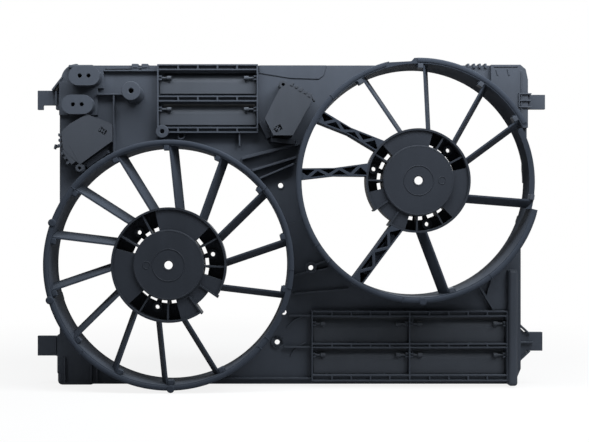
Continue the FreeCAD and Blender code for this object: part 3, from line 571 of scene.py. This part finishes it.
# %% Steps across the lips
step_out, step_h = 4.0, 74.8
deselect()
bpy.ops.mesh.primitive_cube_add(size=1, location=at(0, 0, 0))
step_bar = bpy.context.object
step_bar.scale = (7.0 * MM, 1.4 * MM, 1.5 * MM)
settle(step_bar)
pick_faces(step_bar, lambda centre, normal: normal.y < -0.9)
bpy.ops.transform.resize(value=(0.94, 1, 0.6), center_override=at(0, 0.7, 0))
end_edit()
soften(step_bar, 0.2)
step_places = (("left", 38.5), ("left", -2.0), ("left", -36.5), ("left", -42.0), ("left", 141.0),
               ("left", 225.0), ("right", 212.5), ("right", 222.0), ("right", 262.5), ("right", 136.0),
               ("right", 307.0))
for number, (side, degrees) in enumerate(step_places, start=1):
    turned_copy(step_bar, f"lip_step_{number:02d}", side, degrees, ring_radius[side] + step_out, step_h)
bpy.data.objects.remove(step_bar)
print("steps:", len(step_places))

# %% [markdown]
# ## Feet of the vanes
# Where a vane meets the ring, a solid foot beside it spreads the load into the wall. All feet are one
# drafted block with rounded edges, turned round the ring's axis to each vane. The left ring has
# fourteen equal places and thirteen vanes, because the wire notch takes one. The right ring's six
# plain vanes are not evenly spaced, so their directions are listed.

# %% Vane feet
foot_wide, foot_deep, foot_across = 6.6, 10.0, 7.6
foot_in, foot_h = 2.8, 69.4
# painted light: the right ring's feet take the lighter plate finish where the lamps fall on them; the left
# ring's feet keep the ring's own finish
foot_look_with_painted_light = {"left": "ring", "right": "plate"}
deselect()
bpy.ops.mesh.primitive_cube_add(size=1, location=at(0, 0, 0))
foot = bpy.context.object
foot.scale = (foot_wide * MM, foot_deep * MM, foot_across * MM)
settle(foot)
pick_faces(foot, lambda centre, normal: normal.y < -0.9)
bpy.ops.transform.resize(value=(0.86, 1, 0.86), center_override=at(0, foot_deep / 2, 0))
end_edit()
soften(foot, 0.6)
places, open_place, first_foot = 14, 12, 13.9
left_pitch = 360 / places
right_vanes, beside_vane = (36.4, 60.8, 92.8, 124.2, 290.6, 355.4), 3.8
foot_angles = {"left": [first_foot + left_pitch * place for place in range(places) if place != open_place],
               "right": [direction - beside_vane for direction in right_vanes]}
for side, angles in foot_angles.items():
    for number, angle in enumerate(angles, start=1):
        turned_copy(foot, f"{side}_vane_foot_{number:02d}", side, angle, ring_radius[side] - foot_in,
                    foot_h, foot_look_with_painted_light[side])
bpy.data.objects.remove(foot)
print("feet:", sum(len(angles) for angles in foot_angles.values()))

# %% [markdown]
# ## Crowned lips
# The lip's front is not flat but gently crowned, so the light draws a line along it. The crown is a low
# oval swept round the ring's axis with the spin tool, which keeps it truly round; it stops at the scoop
# of the left lip and at the cut-outs of the right one. The same tool makes the beads on the cups and
# the round rims on the plate, so it gets a helper of its own.


# %% Sections turned round an axis
def swept(name, side_or_centre, start, sweep, profile, look, round_mm=0.0, steps=None):
    """Spin a flat section, drawn at angle 0, anticlockwise round an axis along Y.

    The axis is a ring's, given by its side, or stands at a centre (x, z). Angles are in degrees.
    """
    x, z = ring_centre[side_or_centre] if side_or_centre in ring_centre else side_or_centre
    settle(profile)
    profile.data.transform(Matrix.Rotation(-math.radians(start), 4, "Y"))
    profile.data.transform(Matrix.Translation(at(x, 0, z)))
    work_on(profile)
    bpy.ops.object.mode_set(mode="EDIT")
    bpy.ops.mesh.select_all(action="SELECT")
    bpy.ops.mesh.spin(steps=steps or max(10, int(sweep / 3)), angle=math.radians(sweep),
                      center=at(x, 0, z), axis=(0, 1, 0), use_auto_merge=True)
    bpy.ops.mesh.select_all(action="SELECT")
    bpy.ops.mesh.remove_doubles(threshold=0.01 * MM)
    bpy.ops.mesh.normals_make_consistent(inside=False)
    end_edit()
    profile.name = name
    if round_mm:
        soften(profile, round_mm)
    else:
        work_on(profile)
        bpy.ops.object.shade_smooth_by_angle(angle=math.radians(50))
    hand_over(profile, look)
    return profile


def round_section(radius_mm, reach, h, flat=1.0):
    """A filled circle, or a low oval when flat is less than 1."""
    deselect()
    bpy.ops.mesh.primitive_circle_add(vertices=16, radius=radius_mm * MM, fill_type="NGON",
                                      location=at(reach, h, 0))
    section = bpy.context.object
    section.scale = (1, flat, 1)
    return section


def flat_section(wall, low_h, high_h, reach):
    """A filled rectangle, its middle at a reach from the axis."""
    deselect()
    bpy.ops.mesh.primitive_plane_add(size=1, location=at(reach, (low_h + high_h) / 2, 0))
    section = bpy.context.object
    section.scale = (wall * MM, (high_h - low_h) * MM, 1)
    return section


# %% Rolled crown along the lips
crown_radius, crown_out, crown_h = 3.3, 4.1, 73.6
for side, start, sweep in (("left", -11, 336), ("right", 28.5, 62), ("right", 106, 238)):
    section = round_section(crown_radius, ring_radius[side] + crown_out, crown_h, flat=0.45)
    crown = swept(f"{side}_lip_crown_{abs(start):.0f}", side, start, sweep, section, "ring",
                  steps=int(sweep / 2))
    corners = [[round(c / MM) for c in crown.bound_box[corner]] for corner in (0, 6)]
    print(crown.name, *corners)

# %% [markdown]
# ## Motor cups
# A thin raised circle marks the middle of each cup, with a small bare ring beside it. A bead follows the
# cup's rim and another runs round its middle hole. All are a small circle spun round the place's axis,
# sunk to about half its height in the cup.

# %% Raised circles on the cups
for side, middle_radius, mark_x in (("left", 20.4, -186.0), ("right", 18.8, 189.3)):
    mark_centre = (mark_x, ring_centre[side][1])
    swept(f"{side}_cup_circle", side, 0, 360, round_section(0.55, middle_radius, 74.0), "hub", steps=72)
    swept(f"{side}_cup_mark", mark_centre, 0, 360, round_section(0.45, 4.6, 74.0), "hub", steps=32)
    swept(f"{side}_cup_rim", side, 0, 360, round_section(0.6, 43.2, 73.6), "hub", steps=96)
    swept(f"{side}_cup_collar", side, 0, 360, round_section(0.5, 6.6, 73.9), "hub", steps=36)

# %% [markdown]
# ## Small raised features
# Stiffeners, stops and snap teeth are small blocks with draft, so that the tool can let them go: a box
# is set in its place, its front face is drawn in a little, and its edges are rounded.


# %% Drafted blocks
def block(name, low, high, look="plate", slot="housing_plastic", draft=0.9, turn=0.0, round_mm=0.35,
          segments=2):
    """A drafted block between two corners (x, h, z), turned anticlockwise about its middle."""
    deselect()
    middle = [(a + b) / 2 for a, b in zip(low, high)]
    bpy.ops.mesh.primitive_cube_add(size=1, location=at(*middle))
    piece = bpy.context.object
    piece.scale = ((high[0] - low[0]) * MM, (high[1] - low[1]) * MM, (high[2] - low[2]) * MM)
    settle(piece)
    pick_faces(piece, lambda centre, normal: normal.y < -0.9)
    bpy.ops.transform.resize(value=(draft, 1, draft), center_override=at(*middle))
    end_edit()
    if turn:
        pivot = Matrix.Translation(at(*middle))
        piece.data.transform(pivot @ Matrix.Rotation(-math.radians(turn), 4, "Y") @ pivot.inverted())
    soften(piece, round_mm, segments, degrees=30)
    piece.name = name
    hand_over(piece, look)
    return piece


def bar(name, start, end, wall, low_h, high_h, look="plate", draft=0.9):
    """A straight rib from one point (x, z) to another."""
    length = math.hypot(end[0] - start[0], end[1] - start[1])
    x, z = (start[0] + end[0]) / 2, (start[1] + end[1]) / 2
    turn = math.degrees(math.atan2(end[1] - start[1], end[0] - start[0]))
    return block(name, (x - length / 2, low_h, z - wall / 2), (x + length / 2, high_h, z + wall / 2),
                 look, draft=draft, turn=turn, round_mm=0.3)


# %% [markdown]
# ## Trough floors
# The cross bars of the flap frames are troughs, open to the front, and so are the truss vanes. Neither
# is as deep as the moulding is thick, so each gets a floor under its rims. The frames' floors reach a
# little into the walls beside them, so that no gap shows along their edges.

# %% Count so far
def tell(step):
    print(f"{step}: {len(bpy.data.meshes)} meshes so far")


# %% Trough floors of the flap frames
floor_back, floor_front, into_wall = 17.5, 24.0, 0.3
trough_rows = {"upper": ((-175.7, -46.3), ((205.4, 209.7), (164.0, 168.2), (122.8, 126.8))),
               "lower": ((27.8, 283.2), ((-119.6, -115.3), (-161.0, -158.2), (-204.7, -199.6)))}
for frame_side, ((left, right), rows) in trough_rows.items():
    for number, (low, high) in enumerate(rows, start=1):
        block(f"{frame_side}_trough_floor_{number}", (left - into_wall, floor_back, low - into_wall),
              (right + into_wall, floor_front, high + into_wall), draft=1.0, round_mm=0.1)
tell("frame troughs")

# %% Trough floors of the truss vanes
# Their floors lie under the zigzag, deeper than it and shallower than the walls, and stop short of
# both ends.
truss_troughs = (((41.0, 133.5), (105.0, 101.0), 9.0),
                 ((18.0, 63.6), (86.0, 67.8), 7.0),
                 ((92.0, -63.0), (129.0, -13.0), 8.5))
for number, (start, end, wall) in enumerate(truss_troughs, start=1):
    bar(f"truss_floor_{number}", start, end, wall, 56.0, 65.0, "ring", draft=1.0)
tell("truss troughs")

# %% [markdown]
# ## Edges and corners
# Along the top edge stand two pads, four nubs and a low tower with a thin line beside it. The left
# corners are rounder and fuller than the measured plate: a turned shoulder lies at the upper one, and a
# skirt bevelled in several steps at the lower one. The ridge at the right edge gets a crown that stands
# a little past it on every side and in front.

# %% Along the top edge
for number, x in enumerate((-207.5, -194.5), start=1):
    block(f"top_edge_pad_{number}", (x - 4.8, 6, 203.5), (x + 4.8, 22, 213.5), draft=0.92, round_mm=0.8)
    bar(f"top_edge_pad_rib_{number}", (x - 3.4, 208.5), (x + 3.4, 208.5), 1.4, 21, 23.2)
for number in range(4):
    x = 234.5 + 7.6 * number
    block(f"top_edge_nub_{number + 1}", (x - 1.6, 8, 207.5), (x + 1.6, 20.5, 214.0), round_mm=0.6)
block("corner_tower", (-295.5, 17.5, 207.0), (-262.0, 24.5, 211.4), draft=0.97, round_mm=1.2)
bar("corner_tower_line", (-248.0, 206.5), (-190.0, 207.5), 1.6, 17, 22.5)
tell("top edge")

# %% Corners of the plate
swept("corner_shoulder", (-285.0, 192.5), 88, 96, flat_section(6.5, 4.0, 17.6, 18.0), "plate", 0.6,
      steps=24)
block("low_corner_skirt", (-312.0, 4.0, -214.0), (-262.0, 17.0, -182.0), draft=0.98, round_mm=6.0,
      segments=4)
block("low_corner_side", (-312.0, 4.0, -199.0), (-297.0, 17.0, -146.0), draft=0.98, round_mm=2.0)
tell("corners")

# %% Crown of the ridge
low, high = (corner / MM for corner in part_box("edge_ridge"))
print("ridge:", [round(c, 1) for c in low], [round(c, 1) for c in high])
block("ridge_crown", (low.x - 0.3, 12.0, low.z - 2.6), (high.x + 0.3, -low.y + 0.8, high.z + 0.4),
      draft=1.0, round_mm=4.2, segments=5)

# %% Upper right block and its tab
bar("corner_block_line", (303.5, 205.0), (303.5, 140.0), 1.2, 23.5, 25.2)
bar("corner_block_edge", (266.0, 209.0), (300.0, 209.0), 1.4, 23.5, 25.0)
for number, z in enumerate((172.8, 164.0, 155.5), start=1):
    bar(f"upper_tab_root_rib_{number}", (299.5, z), (317.5, z), 1.8, 11.0, 26.0)
bar("upper_tab_root_wall", (300.5, 154.0), (300.5, 175.0), 1.8, 20.0, 26.0)
for number, x in enumerate((270.0, 285.0), start=1):
    bar(f"corner_block_rib_{number}", (x, 205.5), (x + 2.5, 197.0), 1.3, 23.5, 25.0)
tell("upper right block")

# %% [markdown]
# ## Ribs of the side tabs
# The four tabs that hold the shroud carry load, so ribs, gussets or raised lines stiffen their roots. A
# gusset is a short bar that leans from the tab to the skirt.

# %% Side tabs
bar("lower_tab_middle_rib", (303.0, -157.0), (323.0, -157.0), 2.0, 10.0, 15.5)
bar("lower_tab_upper_gusset", (303.5, -132.5), (318.5, -146.5), 2.2, 4.0, 15.0)
bar("lower_tab_lower_gusset", (303.5, -181.5), (318.5, -167.5), 2.2, 4.0, 15.0)
bar("upper_tab_gusset", (-318.5, 177.5), (-303.0, 197.5), 2.6, 4.0, 19.5)
bar("upper_tab_root", (-313.5, 158.5), (-313.5, 179.5), 3.2, 8.0, 15.5)
bar("left_tab_line", (-314.0, -148.5), (-314.0, -175.0), 1.6, 10.5, 13.5)
bar("left_tab_step", (-321.5, -173.5), (-300.0, -173.5), 1.4, 10.5, 12.8)
tell("side tabs")

# %% [markdown]
# ## Details of the two covers
# Rows of snap teeth stand along the covers' edges, each cover has a hook, and small latch bars show in
# their windows. A tooth is a drafted block, and every second one is shorter. Skirts close the gap under
# the covers' slanting edges: they are the trays' side walls, and their dark hub finish is painted shade
# for the shadow that falls beside the covers.


# %% Snap teeth of the covers
long_tooth, short_tooth, tooth_wide = 5.8, 4.2, 4.0


def teeth(name, start, end, count, outward, low_h, high_h):
    """A row of snap teeth along a cover's edge, with the gaps the tool leaves between them."""
    turn = math.degrees(math.atan2(end[1] - start[1], end[0] - start[0]))
    for number in range(count):
        share = (number + 0.5) / count
        x = start[0] + share * (end[0] - start[0]) + outward[0]
        z = start[1] + share * (end[1] - start[1]) + outward[1]
        reach = short_tooth if number % 2 else long_tooth
        block(f"{name}_{number + 1}", (x - tooth_wide / 2, low_h, z - reach / 2),
              (x + tooth_wide / 2, high_h, z + reach / 2), "cover", "cover_plastic", draft=0.85, turn=turn,
              round_mm=0.3)


teeth("left_cover_tooth", (-302.5, 121.0), (-303.5, 100.0), 3, (-0.8, 0.0), 29.0, 37.4)
teeth("left_cover_low_tooth", (-300.5, 97.5), (-289.5, 79.0), 3, (-1.6, -1.0), 29.0, 37.4)
bar("left_cover_corner", (-298.5, 99.5), (-285.0, 79.5), 8.0, 29.0, 37.7, "cover")
# painted shade: this skirt is a side wall in the darkest finish, which stands for the shadow beside the
# cover
bar("left_cover_skirt_painted_shade", (-271.5, 75.5), (-240.5, 97.0), 5.0, 18.0, 31.0, "hub")
teeth("right_cover_tooth", (-3.5, 183.5), (25.5, 165.5), 5, (0.5, 0.8), 36.5, 46.9)
# painted shade: the right cover's skirts are side walls in the darkest finish, standing for the shadow
# beside it
bar("right_cover_skirt_low_painted_shade", (-29.5, 111.5), (6.0, 107.5), 6.0, 18.0, 35.0, "hub")
bar("right_cover_skirt_left_painted_shade", (-41.5, 136.0), (-30.0, 113.0), 6.0, 18.0, 35.0, "hub")
bar("left_cover_hook", (-301.0, 104.5), (-312.5, 101.5), 3.2, 28.0, 33.5, "cover")
bar("left_cover_barb", (-311.5, 99.0), (-309.8, 105.5), 2.4, 28.0, 34.5, "cover")
bar("right_cover_hook", (24.0, 168.5), (29.5, 160.5), 2.4, 36.0, 43.5, "cover")
tell("covers")

# %% Latches in the covers' windows
latch_spacing = 3.2
for name, x, z, h, turn in (("left", -248.3, 122.8, 38, -30), ("right", -20.0, 125.1, 46, -28)):
    side_way = Vector((math.cos(math.radians(turn)), math.sin(math.radians(turn))))
    for number, shift in enumerate((-latch_spacing, 0.0, latch_spacing), start=1):
        cx, cz = x + shift * side_way.x, z + shift * side_way.y
        block(f"{name}_latch_bar_{number}", (cx - 0.8, h - 4, cz - 3.4), (cx + 0.8, h + 0.5, cz + 3.4),
              "cover", "cover_plastic", turn=turn, round_mm=0.25)
    block(f"{name}_latch_bridge", (x - 4.4, h - 4, z - 0.7), (x + 4.4, h + 0.3, z + 0.7),
          "cover", "cover_plastic", turn=turn, round_mm=0.25)
tell("latches")

# %% [markdown]
# ## Small rims and ribs of the plate
# A loop for the wiring, rims round clip holes, the walls of a shallow channel and two curved lines in
# the lower field. They start half a millimetre or more inside the plate, whose front is at h 18, so
# that they grow out of it; only the bead on the web's boss stands higher. Round ones are spun, straight
# ones are bars.

# %% Plate details between the flaps and the rings
plate_root, loop_front = 17.0, 24.0
bar("boss_arm", (-162.5, 122.6), (-142.0, 122.6), 1.8, plate_root, loop_front)
swept("harness_loop", (-146.2, 117.5), 180, 180, flat_section(1.6, plate_root, loop_front, 4.2), "plate",
      0.25, steps=14)
bar("loop_leg_left", (-150.4, 117.5), (-150.4, 122.0), 1.6, plate_root, loop_front)
bar("loop_leg_right", (-142.0, 117.5), (-142.0, 122.0), 1.6, plate_root, loop_front)
swept("clip_recess_rim", (-19.0, -156.0), 0, 360, flat_section(1.6, plate_root, 20.5, 7.4), "plate",
      0.3, steps=36)
swept("web_boss_rim", (25.5, -57.0), 0, 360, round_section(1.2, 6.6, 24.2), "plate", steps=36)
swept("clip_rim_upper", (-14.5, 52.0), 0, 360, round_section(0.7, 4.7, 18.0), "plate", steps=30)
bar("channel_wall_upper", (-6.0, -70.5), (20.0, -63.0), 2.0, plate_root, 25.0)
bar("channel_wall_right", (31.5, -53.5), (47.0, -47.5), 2.0, plate_root, 25.0)
swept("field_curve_upper", (24.0, -158.0), 98, 46, flat_section(1.6, 17.5, 20.5, 37.0), "plate", 0.3)
swept("field_curve_lower", (30.0, -190.0), 108, 44, flat_section(1.6, 17.5, 20.5, 35.0), "plate", 0.3)
tell("plate details")
